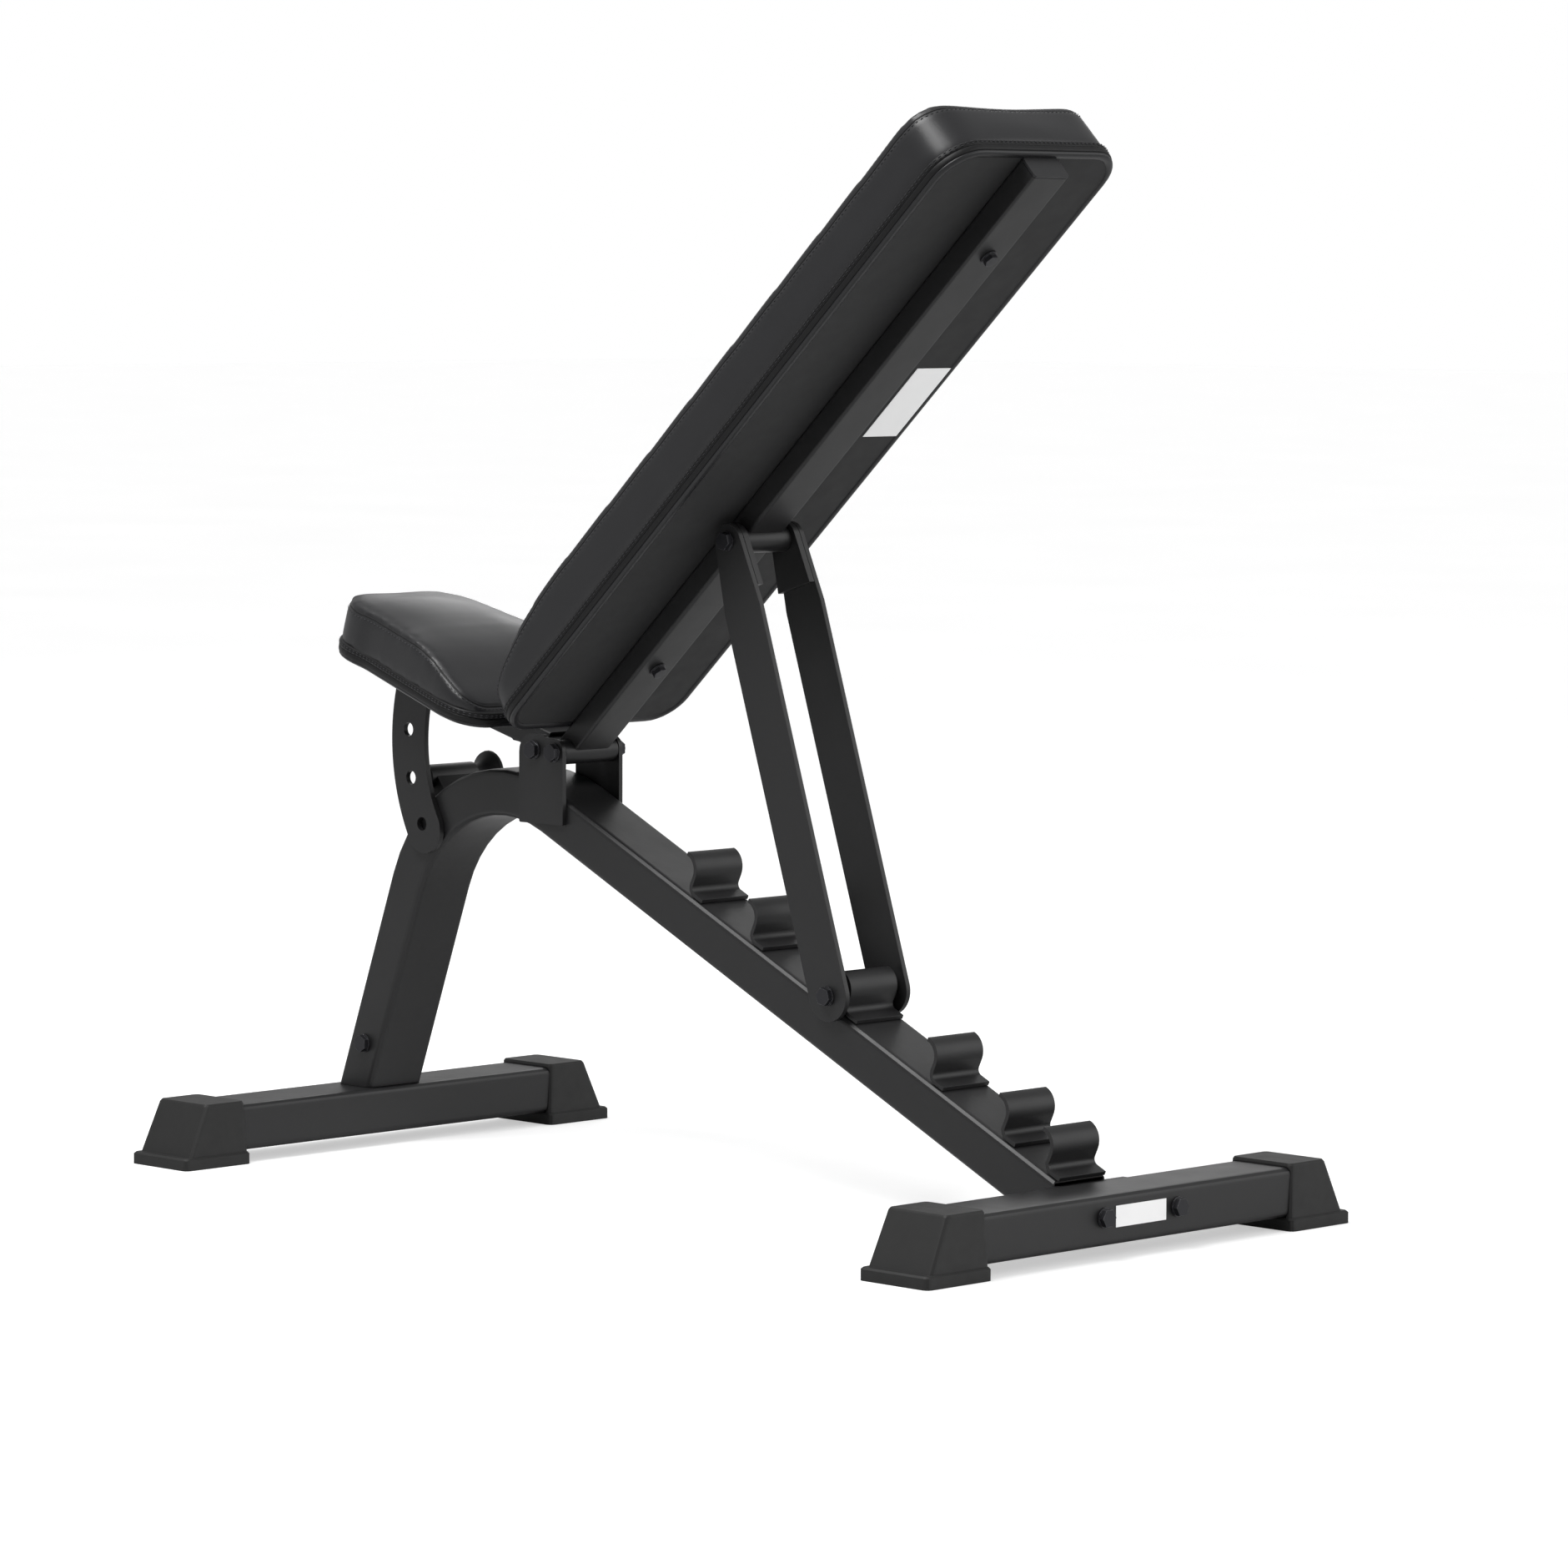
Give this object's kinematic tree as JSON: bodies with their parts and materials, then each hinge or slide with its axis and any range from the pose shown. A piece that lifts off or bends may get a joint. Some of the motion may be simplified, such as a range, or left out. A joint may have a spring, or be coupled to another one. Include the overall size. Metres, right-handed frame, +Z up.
{
  "type": "adjustable weight bench",
  "caption": "Adjustable weight bench with a padded seat and backrest on a bent steel tube, a hooked ladder and strut for the backrest angle, and a pop-pin for the seat angle.",
  "frame": {"origin": "middle of the bench on the floor, centre of the bounding box's bottom face", "axes": "+X towards the ladder end and rear foot, +Y to the side of the pull knob, +Z up"},
  "size_m": [1.1706, 0.616, 1.1148],
  "materials": {
    "powder_coat": "satin black powder coat on steel tube and plate",
    "fastener": "black zinc plated steel",
    "vinyl": "satin black vinyl with fine grain and sewn seams",
    "backing": "matte black backing cloth over board",
    "rubber": "matte black moulded rubber",
    "plastic": "matte black moulded plastic",
    "knob": "fine textured black plastic",
    "label": "blank matt white sticker"
  },
  "bodies": {
    "frame": {"back_pivot_bolt": "fastener", "back_pivot_nut": "fastener", "bracket_plate_far": "powder_coat", "bracket_plate_near": "powder_coat", "foot_cap_front_far": "rubber", "foot_cap_front_near": "rubber", "foot_cap_rear_far": "rubber", "foot_cap_rear_near": "rubber", "foot_label": "label", "front_foot_bar": "powder_coat", "ladder_hook_1": "powder_coat", "ladder_hook_2": "powder_coat", "ladder_hook_3": "powder_coat", "ladder_hook_4": "powder_coat", "ladder_hook_5": "powder_coat", "ladder_hook_6": "powder_coat", "leg_bolt": "fastener", "leg_nut": "fastener", "leg_stub": "powder_coat", "main_tube": "powder_coat", "pin_housing": "powder_coat", "pin_spring": "fastener", "rear_flange_plate": "powder_coat", "rear_foot_bar": "powder_coat", "rear_foot_bolt_far": "fastener", "rear_foot_bolt_near": "fastener", "rear_foot_nut_far": "fastener", "rear_foot_nut_near": "fastener", "seat_pivot_bolt": "fastener", "seat_pivot_nut": "fastener"},
    "seat": {"seat_arc_plate": "powder_coat", "seat_board": "backing", "seat_bolt_1": "fastener", "seat_bolt_2": "fastener", "seat_cross_plate": "powder_coat", "seat_hinge_sleeve": "powder_coat", "seat_pad": "vinyl", "seat_support_tube": "powder_coat"},
    "seat_pin": {"seat_pin_plunger": "fastener", "seat_pin_knob": "knob"},
    "backrest": {"backrest_board": "backing", "backrest_bolt_1": "fastener", "backrest_bolt_2": "fastener", "backrest_label": "label", "backrest_pad": "vinyl", "spine_tube": "powder_coat", "spine_end_plug": "plastic", "back_hinge_sleeve": "powder_coat", "strut_pivot_sleeve": "powder_coat"},
    "strut": {"strut_bar_far": "powder_coat", "strut_bar_near": "powder_coat", "strut_doubler_far": "powder_coat", "strut_doubler_near": "powder_coat", "strut_lower_bolt": "fastener", "strut_lower_nut": "fastener", "strut_roller": "powder_coat", "strut_upper_bolt": "fastener", "strut_upper_nut": "fastener"}
  },
  "joints": [
    {"name": "backrest_recline", "type": "hinge", "parent": "frame", "child": "backrest", "pos_m": [-0.21, 0, 0.446], "axis": [0, -1, 0], "range_deg": [0, 20.7]},
    {"name": "strut_swing", "type": "hinge", "parent": "backrest", "child": "strut", "pos_m": [0.0509, 0, 0.67639], "axis": [0, 1, 0], "range_deg": [0, 18.7]},
    {"name": "seat_tilt", "type": "hinge", "parent": "frame", "child": "seat", "pos_m": [-0.241, 0, 0.4475], "axis": [0, 1, 0], "range_deg": [-15.2, 15.2]},
    {"name": "seat_pin_pull", "type": "slide", "parent": "frame", "child": "seat_pin", "axis": [0, 1, 0], "range_m": [0, 0.012], "stiffness_N_per_m": 500, "springref_m": -0.004}
  ],
  "couplings": [
    {"joint": "strut_swing", "follows": "backrest_recline", "ratio": 0.9}
  ]
}
